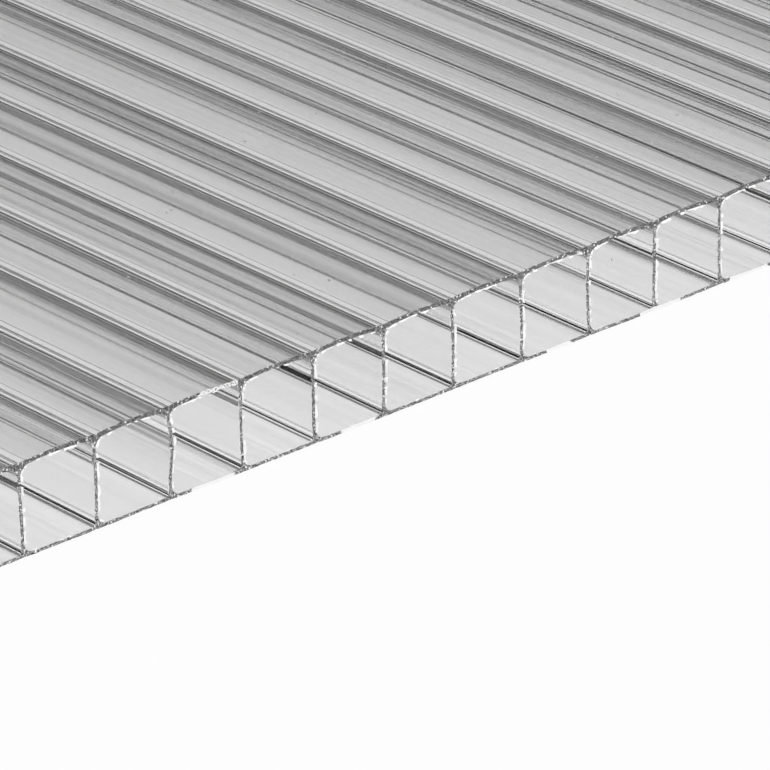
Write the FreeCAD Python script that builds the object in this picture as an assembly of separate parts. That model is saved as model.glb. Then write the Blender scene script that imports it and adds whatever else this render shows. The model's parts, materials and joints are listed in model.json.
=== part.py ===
# Clear twin-wall polycarbonate sheet, 10 mm thick, lying flat on its underside.
# It is one extrusion: two thin skins held apart by upright webs, so that air-filled flutes run the whole length.
# X runs across the flutes, Y along them and Z up. The origin is the middle of the underside. Sizes are in mm.

import FreeCAD
import Part
import math
import os

# Driving dimensions
sheet_length = 1220.0  # along the flutes
sheet_width = 610.0  # across the flutes
sheet_thickness = 10.0  # from the underside to the lands on top
web_pitch = 9.0  # from one web to the next
web_thickness = 0.38
top_skin_thickness = 0.44  # midway between two webs, where a skin is thinnest
bottom_skin_thickness = 0.34
edge_wall_thickness = 0.60  # the wall that closes each long edge
top_root_radius = 0.90  # where a web meets the top skin
bottom_root_radius = 0.62  # where a web meets the bottom skin
roof_slope = 6.5  # degrees, where the arched roof of a flute leaves its roots
floor_slope = 5.0  # degrees, where the dished floor of a flute leaves its roots
land_width = 1.6  # flat strip on top, midway between two webs
crown_fall = 0.20  # how far the top falls from a land to the line over a web
edge_corner_radius = 0.40  # outside corner of a long edge


def point(x, z):
    """A point of the section, which is drawn on the plane of the front cut end."""
    return FreeCAD.Vector(x, -sheet_length / 2.0, z)


def line(start, end):
    return Part.LineSegment(start, end).toShape()


def arc(centre_x, centre_z, radius, start_angle, end_angle):
    """An arc about a centre, between two angles in degrees from +X."""
    places = []
    for angle in (start_angle, (start_angle + end_angle) / 2.0, end_angle):
        turn = math.radians(angle)
        places.append(point(centre_x + radius * math.cos(turn), centre_z + radius * math.sin(turn)))
    return Part.Arc(*places).toShape()


def web_centres():
    """The webs stand on one pitch about the middle, and the two edge flutes take what is left over."""
    clear_width = sheet_width - 2.0 * edge_wall_thickness
    count = int((clear_width - web_pitch) / web_pitch) + 1
    first = -(count - 1) / 2.0 * web_pitch
    return [first + index * web_pitch for index in range(count)]


def flute_spans(webs):
    """The left and right wall of every flute, edge flutes included."""
    inside = sheet_width / 2.0 - edge_wall_thickness
    left_walls = [-inside] + [x + web_thickness / 2.0 for x in webs]
    right_walls = [x - web_thickness / 2.0 for x in webs] + [inside]
    return list(zip(left_walls, right_walls))


def crown(right_web, left_web):
    """The outside of the top between two webs, from right to left: an arc up to the land, the land, an arc down."""
    reach = (right_web - left_web - land_width) / 2.0
    radius = (reach**2 + crown_fall**2) / (2.0 * crown_fall)
    swing = math.degrees(math.asin(reach / radius))
    centre_z = sheet_thickness - radius
    land_right = right_web - reach
    land_left = left_web + reach
    return [
        arc(land_right, centre_z, radius, 90.0 - swing, 90.0),
        line(point(land_right, sheet_thickness), point(land_left, sheet_thickness)),
        arc(land_left, centre_z, radius, 90.0, 90.0 + swing),
    ]


def outline(webs):
    """The outside of the section, going round from the lower left corner.

    The underside is flat. The strip beside each long edge lies as low as the lines over the webs.
    """
    side = sheet_width / 2.0
    radius = edge_corner_radius
    reach = side - radius
    top = sheet_thickness - crown_fall
    high = top - radius
    edges = [
        line(point(-reach, 0.0), point(reach, 0.0)),
        arc(reach, radius, radius, -90.0, 0.0),
        line(point(side, radius), point(side, high)),
        arc(reach, high, radius, 0.0, 90.0),
        line(point(reach, top), point(webs[-1], top)),
    ]
    for right_web, left_web in zip(webs[:0:-1], webs[-2::-1]):
        edges.extend(crown(right_web, left_web))
    edges.append(line(point(webs[0], top), point(-reach, top)))
    edges.append(arc(-reach, high, radius, 90.0, 180.0))
    edges.append(line(point(-side, high), point(-side, radius)))
    edges.append(arc(-reach, radius, radius, 180.0, 270.0))
    return Part.Wire(edges)


def bow(left, right, root_radius, slope):
    """How an arched roof or a dished floor runs between the roots of a flute.

    Gives the radius of its arc, how far the arc rises above its ends, and how far a root's centre lies from them.
    """
    half = (right - left) / 2.0 - root_radius * (1.0 - math.sin(math.radians(slope)))
    radius = half / math.sin(math.radians(slope))
    rise = radius * (1.0 - math.cos(math.radians(slope)))
    return radius, rise, root_radius * math.cos(math.radians(slope))


def flute(left, right):
    """The opening of one flute: two straight walls, an arched roof, a dished floor, and a tangent arc at each root."""
    roof_radius, roof_rise, roof_offset = bow(left, right, top_root_radius, roof_slope)
    floor_radius, floor_fall, floor_offset = bow(left, right, bottom_root_radius, floor_slope)
    middle = (left + right) / 2.0
    roof = sheet_thickness - top_skin_thickness
    floor = bottom_skin_thickness
    high = roof - roof_rise - roof_offset
    low = floor + floor_fall + floor_offset
    top_radius = top_root_radius
    bottom_radius = bottom_root_radius
    edges = [
        arc(middle, floor + floor_radius, floor_radius, 270.0 - floor_slope, 270.0 + floor_slope),
        arc(right - bottom_radius, low, bottom_radius, -90.0 + floor_slope, 0.0),
        line(point(right, low), point(right, high)),
        arc(right - top_radius, high, top_radius, 0.0, 90.0 - roof_slope),
        arc(middle, roof - roof_radius, roof_radius, 90.0 - roof_slope, 90.0 + roof_slope),
        arc(left + top_radius, high, top_radius, 90.0 + roof_slope, 180.0),
        line(point(left, high), point(left, low)),
        arc(left + bottom_radius, low, bottom_radius, 180.0, 270.0 - floor_slope),
    ]
    return Part.Wire(edges)


def sheet():
    """The section with all its flutes, drawn out to the full length."""
    webs = web_centres()
    wires = [outline(webs)] + [flute(*span) for span in flute_spans(webs)]
    section = Part.makeFace(wires, "Part::FaceMakerBullseye")
    return section.extrude(FreeCAD.Vector(0.0, sheet_length, 0.0))


os.makedirs("parts", exist_ok=True)
body = sheet()
body.exportStep("parts/twin_wall_sheet.step")

box = body.BoundBox
print("sheet", round(box.XLength, 3), "x", round(box.YLength, 3), "x", round(box.ZLength, 3), "mm")
print("webs", len(web_centres()), "solid", body.isValid() and body.ShapeType, "volume", round(body.Volume), "mm3")
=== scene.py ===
# %% [markdown]
# # A clear twin-wall polycarbonate sheet
#
# The sheet is one extrusion: two thin skins held apart by upright webs, with air-filled flutes between
# them. It has no paint, grain or print. What the eye reads as detail is bent light: pale bands of the floor
# seen through the skins, and fine dark and bright lines where the corners of the flutes turn the view away.
# So the work is in the section of the mesh, in what surrounds the sheet, and in the rough sawn ends.
#
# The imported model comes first. Its box gives the sizes, and the sheet that is made here takes its place.

import bmesh
import bpy
import json
import math
from mathutils import Matrix, Vector

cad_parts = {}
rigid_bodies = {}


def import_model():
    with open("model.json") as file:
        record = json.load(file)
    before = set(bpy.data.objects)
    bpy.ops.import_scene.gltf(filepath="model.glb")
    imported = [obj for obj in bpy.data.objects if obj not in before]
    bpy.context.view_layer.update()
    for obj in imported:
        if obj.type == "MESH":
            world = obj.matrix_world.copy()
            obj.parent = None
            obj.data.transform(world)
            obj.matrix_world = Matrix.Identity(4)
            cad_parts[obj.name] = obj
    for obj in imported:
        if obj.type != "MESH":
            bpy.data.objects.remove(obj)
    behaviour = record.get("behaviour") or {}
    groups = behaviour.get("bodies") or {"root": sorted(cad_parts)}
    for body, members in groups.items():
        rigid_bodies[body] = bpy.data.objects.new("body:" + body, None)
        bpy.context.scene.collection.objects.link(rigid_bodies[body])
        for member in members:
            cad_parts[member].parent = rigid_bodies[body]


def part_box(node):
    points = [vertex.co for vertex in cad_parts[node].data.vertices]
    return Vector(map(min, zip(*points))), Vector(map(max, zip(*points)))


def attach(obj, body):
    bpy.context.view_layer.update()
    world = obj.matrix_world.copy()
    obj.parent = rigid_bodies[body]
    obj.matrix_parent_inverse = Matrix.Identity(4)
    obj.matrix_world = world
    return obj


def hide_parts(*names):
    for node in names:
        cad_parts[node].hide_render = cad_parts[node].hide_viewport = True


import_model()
scene = bpy.context.scene
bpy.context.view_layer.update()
lowest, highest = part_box("twin_wall_sheet")
thickness = highest.z - lowest.z
mm = 0.001
print("sheet in metres", [round(highest[axis] - lowest[axis], 4) for axis in range(3)])

# %% [markdown]
# ## Camera
#
# A long lens looks down on the sawn end from its left. The lens is long enough to keep the webs nearly
# parallel. The camera could be aimed with a Track To constraint, but three turns say plainly where it
# stands: a turn about Z, a tilt from straight down, and a slight roll.

# %% Place the camera
image_pixels = 770
focal_pixels = 7078
sensor_width = 36.0
view_azimuth = math.radians(-40.56)
view_elevation = math.radians(24.93)
view_roll = math.radians(-1.40)
camera_distance = 687.9 * mm
nearest_seen = 0.05
farthest_seen = 20.0
aim = Vector((-8.96 * mm, lowest.y, 3.41 * mm))

camera_data = bpy.data.cameras.new("camera")
camera_data.sensor_width = sensor_width
camera_data.lens = sensor_width * focal_pixels / image_pixels
camera_data.clip_start = nearest_seen
camera_data.clip_end = farthest_seen
camera = bpy.data.objects.new("camera", camera_data)
scene.collection.objects.link(camera)
tilt = Matrix.Rotation(math.pi / 2 - view_elevation, 4, "X")
turn = Matrix.Rotation(view_azimuth, 4, "Z") @ tilt @ Matrix.Rotation(view_roll, 4, "Z")
camera.matrix_world = Matrix.Translation(aim + turn @ Vector((0, 0, camera_distance))) @ turn
scene.camera = camera
print("camera at", [round(value, 4) for value in camera.matrix_world.translation])

# %% [markdown]
# ## Small helpers for modelling by hand
#
# Edit-mode operators act on what is selected. With a mouse you would click the edges you want. A script
# can't, so these helpers deselect everything and then select vertices, edges or faces by their place.

# %% Helpers for selecting
place_tolerance = 0.01 * mm


def deselect_all():
    if bpy.context.mode != "OBJECT":
        bpy.ops.object.mode_set(mode="OBJECT")
    bpy.ops.object.select_all(action="DESELECT")


def activate(piece):
    deselect_all()
    piece.select_set(True)
    bpy.context.view_layer.objects.active = piece


def edit(piece, mode="VERT"):
    """Opens a piece in edit mode with nothing selected."""
    activate(piece)
    bpy.ops.object.mode_set(mode="EDIT")
    bpy.ops.mesh.select_mode(type=mode)
    bpy.ops.mesh.select_all(action="DESELECT")


def pick(piece, kind, test):
    """Selects the vertices, edges or faces whose points all pass the test, and returns how many."""
    mesh = bmesh.from_edit_mesh(piece.data)
    found = 0
    for element in getattr(mesh, kind):
        points = [element.co] if kind == "verts" else [vertex.co for vertex in element.verts]
        if all(test(point) for point in points):
            element.select_set(True)
            found += 1
    mesh.select_flush_mode()
    bmesh.update_edit_mesh(piece.data)
    return found


def near(value, target, reach=place_tolerance):
    return abs(value - target) < reach


print("places count as equal within", round(place_tolerance / mm, 3), "mm")

# %% [markdown]
# ## Blocks, loops and soft moves
#
# Each shape here starts as a cube that is added at its size and place. To bend a face it needs edges to
# bend at. Loop Cut would add them, but it needs a window, so Bisect does it: a plane through the whole
# piece, once for each loop. The bending is a move with proportional editing, which draws the neighbours
# along with a soft falloff.

# %% Helpers for shaping
def add_block(name, low, high):
    """A cube primitive that fills the box between two corners, with its place in its mesh."""
    deselect_all()
    centre = (Vector(low) + Vector(high)) / 2
    bpy.ops.mesh.primitive_cube_add(size=1, location=centre, scale=Vector(high) - Vector(low))
    block = bpy.context.object
    block.name = name
    bpy.ops.object.transform_apply(location=True, rotation=True, scale=True)
    return block


def join(pieces):
    deselect_all()
    for piece in pieces:
        piece.select_set(True)
    bpy.context.view_layer.objects.active = pieces[0]
    bpy.ops.object.join()
    return pieces[0]


def even_steps(start, end, count):
    return [start + (end - start) * (index + 1) / (count + 1) for index in range(count)]


def cut_across(piece, places, axis="X"):
    """Adds an edge loop through the whole piece at each place along an axis."""
    normal = {"X": Vector((1, 0, 0)), "Y": Vector((0, 1, 0)), "Z": Vector((0, 0, 1))}[axis]
    for place in places:
        bpy.ops.mesh.select_all(action="SELECT")
        bpy.ops.mesh.bisect(plane_co=normal * place, plane_no=normal, use_fill=False)


def nudge(piece, test, move, reach, falloff="SMOOTH"):
    """Moves the vertices that pass the test, and draws their neighbours along with a soft falloff."""
    bpy.ops.mesh.select_all(action="DESELECT")
    pick(piece, "verts", test)
    bpy.ops.transform.translate(
        value=move,
        use_proportional_edit=True,
        proportional_edit_falloff=falloff,
        proportional_size=reach,
    )


print("three even steps from 0 to 1:", even_steps(0, 1, 3))

# %% [markdown]
# ## One flute
#
# A flute is a square tunnel. Its roof and floor are the insides of the skins and its walls are two webs.
# Where web meets skin the plastic is thicker, and midway between the webs the skins are at their thinnest,
# so the roof is arched and the floor is dished. The roots on the two walls differ a little, as where a melt
# has sagged to one side, and the smallest one at the floor is flattened. That decides which dark lines show
# at the foot of each web. The tunnel starts as a cube. Its ends are deleted, bevels round its long edges,
# bisect gives it edges to bend at, and proportional moves arch the roof and dish the floor.

# %% Sizes of a flute
web_pitch = 9.00 * mm
web_thickness = 0.38 * mm
roof_height = thickness - 0.70 * mm
floor_height = 0.39 * mm
roof_roots = (0.95 * mm, 0.80 * mm)
floor_roots = (0.98 * mm, 0.33 * mm)
roof_curves = (0.5, 0.5)
floor_curves = (0.5, 0.38)
roof_rise = 0.28 * mm
floor_dip = 0.05 * mm
tunnel_cuts = 13
wall_cuts = 14
root_segments = 8
end_inset = 0.15 * mm
front = lowest.y + end_inset
back = highest.y - end_inset
print("a flute is", round((web_pitch - web_thickness) / mm, 2), "mm wide")


# %% Model one flute
def flute(name, left, right):
    """The inner walls of one flute, open at both ends."""
    tunnel = add_block(name, (left, front, floor_height), (right, back, roof_height))
    edit(tunnel, "FACE")
    for end in (front, back):
        pick(tunnel, "faces", lambda p: near(p.y, end))
    bpy.ops.mesh.delete(type="FACE")
    bpy.ops.mesh.select_mode(type="EDGE")
    roots = ((roof_height, roof_roots, roof_curves), (floor_height, floor_roots, floor_curves))
    for height, radii, curves in roots:
        for wall, radius, curve in zip((left, right), radii, curves):
            bpy.ops.mesh.select_all(action="DESELECT")
            pick(tunnel, "edges", lambda p: near(p.z, height) and near(p.x, wall))
            bpy.ops.mesh.bevel(offset=radius, segments=root_segments, profile=curve, affect="EDGES")
    widest = max(roof_roots + floor_roots)
    cut_across(tunnel, even_steps(left + widest, right - widest, tunnel_cuts))
    cut_across(tunnel, even_steps(floor_height + widest, roof_height - widest, wall_cuts), "Z")
    arch(tunnel, left, right)
    bpy.ops.mesh.select_all(action="SELECT")
    bpy.ops.mesh.normals_make_consistent(inside=False)
    bpy.ops.mesh.flip_normals()
    bpy.ops.object.mode_set(mode="OBJECT")
    return tunnel


def arch(tunnel, left, right):
    """Raises the middle of the roof and lowers the middle of the floor, with the falloff of a parabola."""
    middle = (left + right) / 2
    half = (right - left) / 2
    bpy.ops.mesh.select_mode(type="VERT")
    for height, move in ((roof_height, roof_rise), (floor_height, -floor_dip)):
        level = [v.co.x for v in bmesh.from_edit_mesh(tunnel.data).verts if near(v.co.z, height)]
        closest = min(abs(x - middle) for x in level)
        over_middle = lambda p: near(p.z, height) and near(abs(p.x - middle), closest)
        nudge(tunnel, over_middle, (0, 0, move), half, "INVERSE_SQUARE")


webs_each_side = 33
half_web = web_thickness / 2
last_web = webs_each_side * web_pitch
cell_start = -last_web
cell_end = cell_start + web_pitch
first_flute = flute("first_flute", cell_start + half_web, cell_end - half_web)
print("flute faces", len(first_flute.data.polygons))

# %% [markdown]
# ## The outside of one cell
#
# The top skin crowns gently from web to web, with a small notch over each web where the melt shrank most.
# The underside stays almost flat, with as small a notch under each web. A cell is a block that loses its
# two ends. Its roof is raised with the falloff of a parabola, and its corners, which lie on the middle of a
# web, are pulled in. The block and its flute have equally many points round each end, so that Bridge Edge
# Loops can close the end between them with an even ring of faces.

# %% Model the outside of a cell
top_crown = 0.15 * mm
top_notch = 0.03 * mm
bottom_notch = 0.03 * mm
notch_reach = 1.3 * mm
edge_corner = 0.40 * mm
corner_segments = 4
skin_cuts = tunnel_cuts + root_segments
side_cuts = wall_cuts + root_segments
middle_share = 0.6


def shell(name, left, right, top, crown, webs, rounded=None):
    """The outside of one cell as a block without ends. rounded is the side whose corners get a radius."""
    base = top - crown
    block = add_block(name, (left, front, 0), (right, back, base))
    edit(block, "FACE")
    for end in (front, back):
        pick(block, "faces", lambda p: near(p.y, end))
    bpy.ops.mesh.delete(type="FACE")
    cut_across(block, even_steps(left, right, skin_cuts))
    cut_across(block, even_steps(0, base, side_cuts), "Z")
    middle = (left + right) / 2
    middle_reach = middle_share * (right - left) / (skin_cuts + 1)
    bpy.ops.mesh.select_mode(type="VERT")
    if crown:
        over_middle = lambda p: near(p.z, base) and near(p.x, middle, middle_reach)
        nudge(block, over_middle, (0, 0, crown), (right - left) / 2, "INVERSE_SQUARE")
    for web in webs:
        nudge(block, lambda p: near(p.z, base) and near(p.x, web), (0, 0, -top_notch), notch_reach)
        nudge(block, lambda p: near(p.z, 0) and near(p.x, web), (0, 0, bottom_notch), notch_reach)
    if rounded is not None:
        bpy.ops.mesh.select_mode(type="EDGE")
        bpy.ops.mesh.select_all(action="DESELECT")
        for corner_height in (0.0, base):
            pick(block, "edges", lambda p: near(p.x, rounded) and near(p.z, corner_height))
        bpy.ops.mesh.bevel(offset=edge_corner, segments=corner_segments, affect="EDGES")
    bpy.ops.object.mode_set(mode="OBJECT")
    return block


cell_webs = (cell_start, cell_end)
first_shell = shell("sheet_cell", cell_start, cell_end, thickness, top_crown, cell_webs)
print("shell faces", len(first_shell.data.polygons))

# %% [markdown]
# ## The burr in each opening
#
# A saw leaves a thin ragged film of plastic hanging along the rim of each opening. It could be drawn as a
# loose strip, but as a copy of the flute whose rim edges are filled it fits the opening exactly. An inset
# of that fill leaves a narrow ribbon once the middle is deleted, and the ribbon is drawn wide on the left
# and narrow on the right. It gets its ragged edge later, when all the openings are there and no two need be
# alike.

# %% Model the burr of one flute
burr_width = 0.14 * mm
burr_shift = 0.07 * mm
burr_lift = 0.10 * mm


def burr_ring(name, tunnel):
    """A narrow ribbon round the rim of a flute, at both ends. Its free edge stands out by burr_lift."""
    ring = tunnel.copy()
    ring.data = tunnel.data.copy()
    ring.name = name
    scene.collection.objects.link(ring)
    edit(ring, "EDGE")
    for end in (front, back):
        bpy.ops.mesh.select_all(action="DESELECT")
        pick(ring, "edges", lambda p: near(p.y, end))
        bpy.ops.mesh.edge_face_add()
    bpy.ops.mesh.select_mode(type="FACE")
    bpy.ops.mesh.select_all(action="DESELECT")
    for end in (front, back):
        pick(ring, "faces", lambda p: near(p.y, end))
    bpy.ops.mesh.select_all(action="INVERT")
    bpy.ops.mesh.delete(type="FACE")
    for end, outward in ((front, -1), (back, 1)):
        bpy.ops.mesh.select_all(action="DESELECT")
        pick(ring, "faces", lambda p: near(p.y, end))
        bpy.ops.mesh.inset(thickness=burr_width, depth=0)
        bpy.ops.transform.translate(value=(burr_shift, outward * burr_lift, 0))
        bpy.ops.mesh.delete(type="FACE")
    bpy.ops.object.mode_set(mode="OBJECT")
    return ring


first_burr = burr_ring("saw_burr", first_flute)
print("burr faces in one flute", len(first_burr.data.polygons))

# %% [markdown]
# ## From one cell to all
#
# Shell and flute become one mesh, their ends are bridged, and the two sides that a neighbour shares are
# opened. What repeats is modelled once: an Array modifier copies the cell across the sheet and merges the
# shared borders. The burr goes the same way.

# %% Join the first cell
def close_ends(cell, shared):
    """Bridges each end from outline to opening, then opens the sides shared with a neighbour."""
    edit(cell, "EDGE")
    for end in (front, back):
        bpy.ops.mesh.select_all(action="DESELECT")
        pick(cell, "edges", lambda p: near(p.y, end))
        bpy.ops.mesh.bridge_edge_loops()
    bpy.ops.mesh.select_mode(type="FACE")
    bpy.ops.mesh.select_all(action="DESELECT")
    for side in shared:
        pick(cell, "faces", lambda p: near(p.x, side))
    bpy.ops.mesh.delete(type="FACE")
    bpy.ops.object.mode_set(mode="OBJECT")
    return cell


cell = close_ends(join([first_shell, first_flute]), cell_webs)
print("one cell has", len(cell.data.polygons), "faces")

# %% Repeat the cell and its burr
full_cells = 2 * webs_each_side
merge_gap = 0.005 * mm


def repeat_across(piece):
    """Copies a cell's mesh once for every full cell, and merges the shared borders."""
    rows = piece.modifiers.new("rows", "ARRAY")
    rows.use_relative_offset = False
    rows.use_constant_offset = True
    rows.constant_offset_displace = (web_pitch, 0, 0)
    rows.count = full_cells
    rows.use_merge_vertices = True
    rows.merge_threshold = merge_gap
    activate(piece)
    bpy.ops.object.modifier_apply(modifier="rows")


repeat_across(cell)
repeat_across(first_burr)
print(full_cells, "cells have", len(cell.data.polygons), "faces")

# %% [markdown]
# ## The long edges
#
# The first and last flutes take what is left of the width, and a slightly thicker wall closes each long
# edge. Its two corners are rounded with a bevel. Then all the cells become one closed skin, which Merge by
# Distance welds at the seams. Faces have to point outwards, or glass bends light the wrong way.

# %% Model the edge cells
edge_wall = 0.60 * mm
burrs = [first_burr]


def edge_cell(side):
    """The narrow cell that closes one long edge: side is -1 for the left and +1 for the right."""
    inner = side * last_web
    outer = side * highest.x
    left, right = sorted((inner, outer))
    tunnel = flute("edge_flute", *sorted((inner + side * half_web, outer - side * edge_wall)))
    burrs.append(burr_ring("edge_burr", tunnel))
    outside = shell("edge_shell", left, right, thickness - top_crown, 0.0, (inner,), outer)
    return close_ends(join([outside, tunnel]), (inner,))


sheet = join([cell, edge_cell(-1), edge_cell(1)])
sheet.name = "clear_sheet"
burr = join(burrs)
edit(sheet)
bpy.ops.mesh.select_all(action="SELECT")
bpy.ops.mesh.remove_doubles(threshold=merge_gap)
bpy.ops.mesh.select_all(action="SELECT")
bpy.ops.mesh.normals_make_consistent(inside=False)
bpy.ops.object.mode_set(mode="OBJECT")
print("burr faces in all flutes", len(burr.data.polygons))


# %% See that the sheet is closed
def measure(piece):
    """Open edges and volume, to see that a piece is one closed solid."""
    mesh = bmesh.new()
    mesh.from_mesh(piece.data)
    open_edges = sum(len(edge.link_faces) != 2 for edge in mesh.edges)
    cubic_centimetre = (10 * mm) ** 3
    volume = mesh.calc_volume(signed=True) / cubic_centimetre
    mesh.free()
    return open_edges, round(volume, 1)


print("sheet: open edges and cubic centimetres", measure(sheet))

# %% [markdown]
# ## The sawn ends
#
# The saw's damage is short. Three loops near each end keep it so: the first is roughened together with the
# rim, and the other two stay true and shield the long faces, whose shading would otherwise streak. The sawn
# faces are the ones that lie wholly on an end, and get a material slot of their own while they are still
# flat.

# %% Loops near the ends
saw_reach = (0.03 * mm, 0.08 * mm, 0.20 * mm)
edit(sheet)
cut_across(sheet, [front + reach for reach in saw_reach] + [back - reach for reach in saw_reach], "Y")
bpy.ops.object.mode_set(mode="OBJECT")
print("sheet faces", len(sheet.data.polygons))

# %% Give the sawn faces their own material slot
SKIN_SLOT = 0
SAWN_SLOT = 1


def on_plane(piece, face, place):
    return all(near(piece.data.vertices[index].co.y, place) for index in face.vertices)


for face in sheet.data.polygons:
    sawn_here = on_plane(sheet, face, front) or on_plane(sheet, face, back)
    face.material_index = SAWN_SLOT if sawn_here else SKIN_SLOT
sawn_faces = sum(face.material_index == SAWN_SLOT for face in sheet.data.polygons)
print("sawn faces", sawn_faces, "of", len(sheet.data.polygons))

# %% [markdown]
# ## Roughened rims
#
# A saw tears the rim by hundredths of a millimetre. A bump in the material would leave the outline of each
# opening smooth, so the points of the rim are really moved. Randomize does that, with a fixed seed, so that
# every run gives the same sheet.

# %% Roughen the rims
rim_roughness = 0.020 * mm
step_roughness = 0.003 * mm
rim_seed = 11
step_seed = 21


def scatter(piece, place, distance, seed):
    """Moves the vertices on one plane across Y by a seeded random distance."""
    bpy.ops.mesh.select_all(action="DESELECT")
    moved = pick(piece, "verts", lambda p: near(p.y, place))
    bpy.ops.transform.vertex_random(offset=distance, uniform=1.0, seed=seed)
    return moved


edit(sheet)
for step, (end, direction) in enumerate(((front, 1), (back, -1))):
    moved = scatter(sheet, end, rim_roughness, rim_seed + step)
    scatter(sheet, end + direction * saw_reach[0], step_roughness, step_seed + step)
    print("rim points moved", moved)
bpy.ops.object.mode_set(mode="OBJECT")

# %% [markdown]
# ## The ragged burr
#
# The free edge of each ribbon is scattered in the same way and some of its faces are taken out, more of
# them on the right of each opening and along its floor, where the blade left the edge cleaner. Random
# selection with a fixed seed chooses them, and what lies elsewhere is taken out of the second choice again.

# %% Tear the burr
burr_scatter = 0.10 * mm
torn_share = 0.45
clean_share = 0.75
clean_from = 0.75
clean_below = 1.5 * mm
burr_seed = 5
torn_seed = 7
clean_seed = 8


def across_cell(x):
    """Where a point lies in its cell, from 0 at the web on its left to 1 at the web on its right."""
    return ((x - cell_start) / web_pitch) % 1.0


edit(burr)
for step, free_edge in enumerate((front - burr_lift, back + burr_lift)):
    scatter(burr, free_edge, burr_scatter, burr_seed + step)
bpy.ops.mesh.select_mode(type="FACE")
bpy.ops.mesh.select_all(action="DESELECT")
bpy.ops.mesh.select_random(ratio=torn_share, seed=torn_seed)
bpy.ops.mesh.delete(type="FACE")
bpy.ops.mesh.select_random(ratio=clean_share, seed=clean_seed)
mesh = bmesh.from_edit_mesh(burr.data)
for face in mesh.faces:
    centre = face.calc_center_median()
    if across_cell(centre.x) < clean_from and centre.z > clean_below:
        face.select_set(False)
bmesh.update_edit_mesh(burr.data)
bpy.ops.mesh.delete(type="FACE")
bpy.ops.object.mode_set(mode="OBJECT")
print("burr faces left", len(burr.data.polygons))

# %% [markdown]
# ## No two cells alike
#
# Molten webs sway a little before they freeze, and the skins ripple by hundredths of a millimetre. On a
# clear sheet that shows at once, because every ripple moves a reflection. Two Displace modifiers with soft
# cloud noise do this: one sways everything sideways, one ripples it up and down. The burr gets the same
# two, so that it stays on its rim. One web near the middle of the view is bowed with a given move.

# %% Sway and ripple
sway = 0.30 * mm
ripple = 0.11 * mm
sway_size = 7.0 * mm
ripple_size = 8.0 * mm
middle_grey = 0.5


def waver(piece, name, direction, strength, size):
    """Displaces a piece along one axis by soft noise, whose middle grey moves nothing."""
    texture = bpy.data.textures.new(name, "CLOUDS")
    texture.noise_scale = size
    texture.noise_depth = 0
    shift = piece.modifiers.new(name, "DISPLACE")
    shift.texture = texture
    shift.texture_coords = "LOCAL"
    shift.direction = direction
    shift.mid_level = middle_grey
    shift.strength = strength
    activate(piece)
    bpy.ops.object.modifier_apply(modifier=name)


# %% Bow one web, then sway and ripple both pieces
bowed_web = -4 * web_pitch
bow = 0.35 * mm
bow_height = 6.0 * mm
bow_band = 0.4 * mm
bow_reach = 4.0 * mm

for piece in (sheet, burr):
    edit(piece)
    on_web = lambda p: near(p.x, bowed_web, web_thickness) and near(p.z, bow_height, bow_band)
    nudge(piece, on_web, (bow, 0, 0), bow_reach)
    bpy.ops.object.mode_set(mode="OBJECT")
    waver(piece, "sway", "X", sway, sway_size)
    waver(piece, "ripple", "Z", ripple, ripple_size)
box = [Vector(corner) for corner in sheet.bound_box]
print("sheet from", [round(v / mm, 3) for v in box[0]], "to", [round(v / mm, 3) for v in box[6]])

# %% [markdown]
# ## Small helpers for materials
#
# A node tree can be wired by hand in the shader editor. In a script each wire is a line, so the few kinds
# of node that come back are wrapped: a new material, a sum or comparison, a range, a bump and a point's own
# place.

# %% Helpers for materials
def new_material(name):
    """A material, its node tree, and the Principled BSDF that it starts with."""
    material = bpy.data.materials.new(name)
    material.use_nodes = True
    return material, material.node_tree, material.node_tree.nodes["Principled BSDF"]


def math_node(tree, operation, first, second):
    """A Math node. Each operand is a socket or a number."""
    node = tree.nodes.new("ShaderNodeMath")
    node.operation = operation
    for index, operand in enumerate((first, second)):
        if isinstance(operand, (int, float)):
            node.inputs[index].default_value = operand
        else:
            tree.links.new(operand, node.inputs[index])
    return node.outputs[0]


def between(tree, factor, low, high, start=0.0, end=1.0, blend="LINEAR"):
    """Maps a factor that runs from start to end onto a range, and holds it there beyond them."""
    node = tree.nodes.new("ShaderNodeMapRange")
    node.interpolation_type = blend
    for label, value in zip(("From Min", "From Max", "To Min", "To Max"), (start, end, low, high)):
        node.inputs[label].default_value = value
    tree.links.new(factor, node.inputs["Value"])
    return node.outputs["Result"]


def bump(tree, height, depth):
    """Feeds a height to a Bump node, whose depth is in metres, and returns the bent normal."""
    node = tree.nodes.new("ShaderNodeBump")
    node.inputs["Distance"].default_value = depth
    node.inputs["Strength"].default_value = 1.0
    tree.links.new(height, node.inputs["Height"])
    return node.outputs["Normal"]


def own_place(tree):
    """The X, Y and Z of a point in its piece's own coordinates."""
    place = tree.nodes.new("ShaderNodeTexCoord")
    split = tree.nodes.new("ShaderNodeSeparateXYZ")
    tree.links.new(place.outputs["Object"], split.inputs[0])
    return split.outputs


print("one Principled BSDF serves every material of the sheet")

# %% [markdown]
# ## Shared effects as node groups
#
# Two effects serve more than one material, so each is built once as a group. Stretched grain is noise that
# is drawn out along one axis: fine die lines along the flutes on the clear faces, saw marks on the cut
# ones. Specks are scattered dots from a Voronoi pattern: dust on the skins, torn white points on the cut. A
# group puts out only a height or a mask. The shader stays in the material.

# %% Make and place a group
def new_group(name, inputs, output):
    group = bpy.data.node_groups.new(name, "ShaderNodeTree")
    for label, value in inputs.items():
        socket = group.interface.new_socket(name=label, in_out="INPUT", socket_type="NodeSocketFloat")
        socket.default_value = value
    group.interface.new_socket(name=output, in_out="OUTPUT", socket_type="NodeSocketFloat")
    return group, group.nodes.new("NodeGroupInput"), group.nodes.new("NodeGroupOutput")


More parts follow.
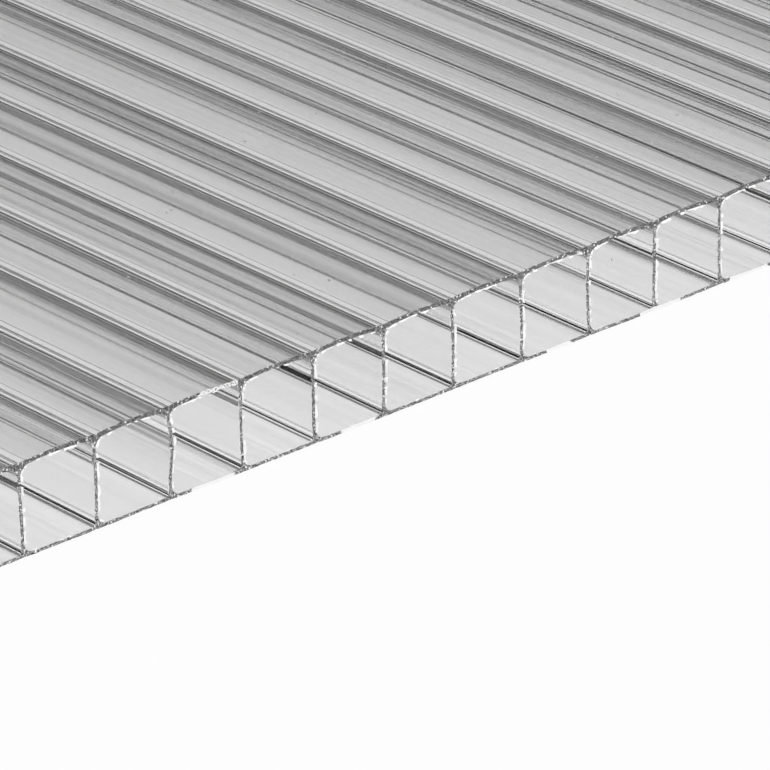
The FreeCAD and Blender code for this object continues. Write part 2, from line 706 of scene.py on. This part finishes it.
def place_group(tree, group, values):
    node = tree.nodes.new("ShaderNodeGroup")
    node.node_tree = group
    for label, value in values.items():
        node.inputs[label].default_value = value
    return node.outputs[0]


# %% Stretched grain
grain_detail = 3.0


def stretched_grain():
    """Noise with so many waves a metre along each axis."""
    group, given, result = new_group("stretched_grain", {"X": 1.0, "Y": 1.0, "Z": 1.0}, "Height")
    place = group.nodes.new("ShaderNodeTexCoord")
    pulls = group.nodes.new("ShaderNodeCombineXYZ")
    for axis in "XYZ":
        group.links.new(given.outputs[axis], pulls.inputs[axis])
    pulled = group.nodes.new("ShaderNodeVectorMath")
    pulled.operation = "MULTIPLY"
    group.links.new(place.outputs["Object"], pulled.inputs[0])
    group.links.new(pulls.outputs[0], pulled.inputs[1])
    noise = group.nodes.new("ShaderNodeTexNoise")
    noise.inputs["Scale"].default_value = 1.0
    noise.inputs["Detail"].default_value = grain_detail
    group.links.new(pulled.outputs[0], noise.inputs["Vector"])
    group.links.new(noise.outputs["Fac"], result.inputs["Height"])
    return group


grain_group = stretched_grain()
print("group", grain_group.name, "with", len(grain_group.nodes), "nodes")


# %% Specks
def specks():
    """Round dots in a share of the cells of a Voronoi pattern."""
    inputs = {"Per Metre": 100.0, "Radius": 0.1, "Share": 0.1}
    group, given, result = new_group("specks", inputs, "Mask")
    place = group.nodes.new("ShaderNodeTexCoord")
    cells = group.nodes.new("ShaderNodeTexVoronoi")
    group.links.new(place.outputs["Object"], cells.inputs["Vector"])
    group.links.new(given.outputs["Per Metre"], cells.inputs["Scale"])
    split = group.nodes.new("ShaderNodeSeparateColor")
    group.links.new(cells.outputs["Color"], split.inputs[0])
    close = math_node(group, "LESS_THAN", cells.outputs["Distance"], given.outputs["Radius"])
    chosen = math_node(group, "LESS_THAN", split.outputs[0], given.outputs["Share"])
    group.links.new(math_node(group, "MULTIPLY", close, chosen), result.inputs["Mask"])
    return group


speck_group = specks()
print("group", speck_group.name, "with", len(speck_group.nodes), "nodes")

# %% [markdown]
# ## The clear plastic
#
# Polycarbonate bends light strongly, with an index of 1.585, and is all but colourless. One glassy
# Principled shader does that. Light for the shadow passes straight through with a small loss, because a
# path tracer would otherwise shade the floor below as if the sheet were opaque. Die lines are a very
# shallow bump drawn out along the flutes, and dust shows as small dull dots.

# %% Clear material
clear_tint = (0.97, 0.97, 0.97, 1)
shadow_tint = (0.95, 0.95, 0.95, 1)
plastic_ior = 1.585
die_lines = {"X": 1400, "Y": 6, "Z": 1400}
die_line_depth = 0.00007 * mm
dust_dots = {"Per Metre": 300, "Radius": 0.045, "Share": 0.25}
dust_roughness = 0.6


def clear_material():
    material, tree, shader = new_material("clear_polycarbonate")
    shader.inputs["Base Color"].default_value = clear_tint
    shader.inputs["IOR"].default_value = plastic_ior
    shader.inputs["Transmission Weight"].default_value = 1.0
    lines = place_group(tree, grain_group, die_lines)
    tree.links.new(bump(tree, lines, die_line_depth), shader.inputs["Normal"])
    dust = place_group(tree, speck_group, dust_dots)
    tree.links.new(between(tree, dust, 0.0, dust_roughness), shader.inputs["Roughness"])
    path = tree.nodes.new("ShaderNodeLightPath")
    pass_light = tree.nodes.new("ShaderNodeBsdfTransparent")
    pass_light.inputs["Color"].default_value = shadow_tint
    mix = tree.nodes.new("ShaderNodeMixShader")
    tree.links.new(path.outputs["Is Shadow Ray"], mix.inputs["Fac"])
    tree.links.new(shader.outputs["BSDF"], mix.inputs[1])
    tree.links.new(pass_light.outputs["BSDF"], mix.inputs[2])
    tree.links.new(mix.outputs["Shader"], tree.nodes["Material Output"].inputs["Surface"])
    return material


clear = clear_material()
print(clear.name, "with an index of", plastic_ior)

# %% [markdown]
# ## Sawn and torn plastic
#
# A sawn face is the same plastic with its polish gone: grey and frosted, crossed by fine saw marks, with
# white points where a chip tore out. The top edge is darker. Stretches of the lower edge are painted pale,
# a painted highlight that stands in for the light of the white floor, which the same specks give when they
# are large, and on the top edge one longer chip is placed at a given spot. All of this could be painted,
# but masks made from a point's own place stay sharp at any distance.

# %% Sawn material
saw_marks = {"X": 7500, "Y": 7500, "Z": 5500}
mark_depth = 0.03 * mm
grain_black = 0.44
grain_white = 0.71
sawn_roughness = 0.55
sawn_clearness = 0.15
torn_points = {"Per Metre": 4500, "Radius": 0.5, "Share": 0.14}
# The pale stretches on the lower edge are painted light: a painted highlight for the white floor's light.
painted_floor_light_spots = {"Per Metre": 150, "Radius": 0.42, "Share": 0.65}
painted_floor_light_below = 0.42 * mm
top_edge_above = 9.05 * mm
top_edge_shade = 0.6
chip_above = 9.30 * mm
chip_from = -32.0 * mm
chip_to = -27.3 * mm
chip_share = 0.44


def chip_mask(tree, place, marks):
    """The one long chip on the top edge, broken up by the saw marks."""
    mask = math_node(tree, "GREATER_THAN", place["Z"], chip_above)
    for operation, limit in (("GREATER_THAN", chip_from), ("LESS_THAN", chip_to)):
        mask = math_node(tree, "MULTIPLY", mask, math_node(tree, operation, place["X"], limit))
    return math_node(tree, "MULTIPLY", mask, math_node(tree, "GREATER_THAN", marks, chip_share))


def sawn_material():
    material, tree, shader = new_material("sawn_polycarbonate")
    shader.inputs["Roughness"].default_value = sawn_roughness
    shader.inputs["IOR"].default_value = plastic_ior
    shader.inputs["Transmission Weight"].default_value = sawn_clearness
    place = own_place(tree)
    marks = place_group(tree, grain_group, saw_marks)
    on_top = math_node(tree, "GREATER_THAN", place["Z"], top_edge_above)
    shade = between(tree, marks, 0.0, 1.0, grain_black, grain_white)
    light = math_node(tree, "MULTIPLY", shade, between(tree, on_top, 1.0, top_edge_shade))
    # Pale stretches along the lower edge: painted light, a painted highlight standing in for the white
    # floor.
    low = math_node(tree, "LESS_THAN", place["Z"], painted_floor_light_below)
    painted_floor_light = math_node(tree, "MULTIPLY", low, place_group(tree, speck_group, painted_floor_light_spots))
    torn = place_group(tree, speck_group, torn_points)
    for mask in (torn, painted_floor_light, chip_mask(tree, place, marks)):
        light = math_node(tree, "MAXIMUM", light, mask)
    colour = tree.nodes.new("ShaderNodeCombineColor")
    for channel in range(3):
        tree.links.new(light, colour.inputs[channel])
    tree.links.new(colour.outputs[0], shader.inputs["Base Color"])
    tree.links.new(bump(tree, marks, mark_depth), shader.inputs["Normal"])
    return material


sawn = sawn_material()
print(sawn.name, "with", len(sawn.node_tree.nodes), "nodes")

# %% [markdown]
# ## The burr's plastic, and smooth shading
#
# The burr is so thin and so crazed that it reads white, so it needs no glass: a pale rough shader with a
# fine bump is enough. The slots are then filled in the order of their numbers. Smooth shading by angle
# keeps the rounded roots soft and the sawn rims sharp.

# %% Burr material
burr_colour = (0.98, 0.98, 0.98, 1)
burr_roughness = 0.5
burr_marks = {"X": 4000, "Y": 4000, "Z": 4000}
sharp_from = math.radians(35)


def burr_material():
    material, tree, shader = new_material("torn_burr")
    shader.inputs["Base Color"].default_value = burr_colour
    shader.inputs["Roughness"].default_value = burr_roughness
    marks = place_group(tree, grain_group, burr_marks)
    tree.links.new(bump(tree, marks, mark_depth), shader.inputs["Normal"])
    return material


# %% Put the materials on
sheet.data.materials.append(clear)
sheet.data.materials.append(sawn)
burr.data.materials.append(burr_material())
activate(sheet)
bpy.ops.object.shade_smooth_by_angle(angle=sharp_from)
print("slots", [slot.name for slot in sheet.data.materials], [slot.name for slot in burr.data.materials])

# %% [markdown]
# ## Floor
#
# The floor is a plain pale table. To the camera, and to glass and gloss, it is nearly white, falling off a
# little towards the back, while the light that it throws up stays plain and the shadow stays on it. A
# brighter lamp would whiten it too, but it would also wash out the sheet, so Light Path tells the rays
# apart.

# %% Model the floor
floor_drop = 0.2 * mm
floor_size = 12.0
table_colour = (0.85, 0.85, 0.85, 1)
seen_white = 0.95
bent_white_near = 0.86
bent_white_far = 0.70
fall_off_depth = 150 * mm


def ray_masks(tree):
    """1 for a ray straight from the camera, and 1 for a ray that gloss or glass has turned."""
    path = tree.nodes.new("ShaderNodeLightPath")
    turned = math_node(tree, "ADD", path.outputs["Is Glossy Ray"], path.outputs["Is Transmission Ray"])
    return path.outputs["Is Camera Ray"], math_node(tree, "MINIMUM", turned, 1.0)


def pale_floor():
    material, tree, shader = new_material("pale_floor")
    tree.nodes.remove(shader)
    table = tree.nodes.new("ShaderNodeBsdfDiffuse")
    table.inputs["Color"].default_value = table_colour
    white = tree.nodes.new("ShaderNodeEmission")
    straight, turned = ray_masks(tree)
    depth = own_place(tree)["Y"]
    fade = between(tree, depth, bent_white_near, bent_white_far, lowest.y, lowest.y + fall_off_depth)
    direct = math_node(tree, "MULTIPLY", straight, seen_white)
    through = math_node(tree, "MULTIPLY", turned, fade)
    mix = tree.nodes.new("ShaderNodeMixShader")
    tree.links.new(math_node(tree, "MAXIMUM", direct, through), mix.inputs["Fac"])
    tree.links.new(table.outputs[0], mix.inputs[1])
    tree.links.new(white.outputs[0], mix.inputs[2])
    tree.links.new(mix.outputs[0], tree.nodes["Material Output"].inputs["Surface"])
    return material


deselect_all()
bpy.ops.mesh.primitive_plane_add(size=floor_size, location=(0, 0, -floor_drop))
floor = bpy.context.object
floor.name = "floor"
floor.data.materials.append(pale_floor())
print("floor in metres", [round(side, 2) for side in floor.dimensions])

# %% [markdown]
# ## Light tent
#
# Clear plastic has hardly a look of its own: it shows what stands round it. Lamps would leave small hard
# spots, so the world itself is a soft light tent: bright overhead and dark near the horizon, so that the
# skins reflect a bright band only where they slope towards it. A bright front, behind the camera, lights
# the sawn end and its burr. Glass and gloss see it only weakly, because a lit front would wash out the
# lines on the sheet when it is seen from behind.

# %% Build the light tent
dark_below = math.radians(44)
bright_above = math.radians(62)
horizon_light = 0.13
overhead_light = 1.0
backdrop_light = 0.95
front_light = 2.0
front_seen = 0.12
front_from = -0.05
front_full = -0.5

world = bpy.data.worlds.new("light_tent")
scene.world = world
world.use_nodes = True
tree = world.node_tree
tree.nodes.clear()
direction = tree.nodes.new("ShaderNodeTexCoord")
split = tree.nodes.new("ShaderNodeSeparateXYZ")
tree.links.new(direction.outputs["Generated"], split.inputs[0])
height_limits = (math.sin(dark_below), math.sin(bright_above))
rise = between(tree, split.outputs["Z"], horizon_light, overhead_light, *height_limits, "SMOOTHSTEP")
front_glow = between(tree, split.outputs["Y"], 0.0, front_light, front_from, front_full, "SMOOTHSTEP")
straight, turned = ray_masks(tree)
dimming = math_node(tree, "MULTIPLY", turned, 1.0 - front_seen)
soft_front = math_node(tree, "MULTIPLY", front_glow, math_node(tree, "SUBTRACT", 1.0, dimming))
around = math_node(tree, "MAXIMUM", rise, soft_front)
backdrop = tree.nodes.new("ShaderNodeMix")
backdrop.inputs[3].default_value = backdrop_light
tree.links.new(straight, backdrop.inputs[0])
tree.links.new(around, backdrop.inputs[2])
sky = tree.nodes.new("ShaderNodeBackground")
output = tree.nodes.new("ShaderNodeOutputWorld")
tree.links.new(backdrop.outputs[0], sky.inputs["Strength"])
tree.links.new(sky.outputs[0], output.inputs["Surface"])
print("light from", horizon_light, "at the horizon to", overhead_light, "overhead")

# %% [markdown]
# ## Render settings
#
# A look through two skins and several webs crosses many surfaces, so glass gets more bounces than the usual
# few. Diffuse light needs only two. Standard view shows colours as they are written.

# %% Set the bounces
most_bounces = 20
glossy_bounces = 12
diffuse_bounces = 2
shadow_crossings = 16
scene.view_settings.view_transform = "Standard"
scene.cycles.max_bounces = most_bounces
scene.cycles.transmission_bounces = most_bounces
scene.cycles.glossy_bounces = glossy_bounces
scene.cycles.diffuse_bounces = diffuse_bounces
scene.cycles.transparent_max_bounces = shadow_crossings
print("bounces", scene.cycles.max_bounces, "view", scene.view_settings.view_transform)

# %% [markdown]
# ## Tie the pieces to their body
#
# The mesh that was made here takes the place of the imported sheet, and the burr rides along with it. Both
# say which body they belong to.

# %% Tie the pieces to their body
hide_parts("twin_wall_sheet")
for piece in (sheet, burr):
    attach(piece, "root")
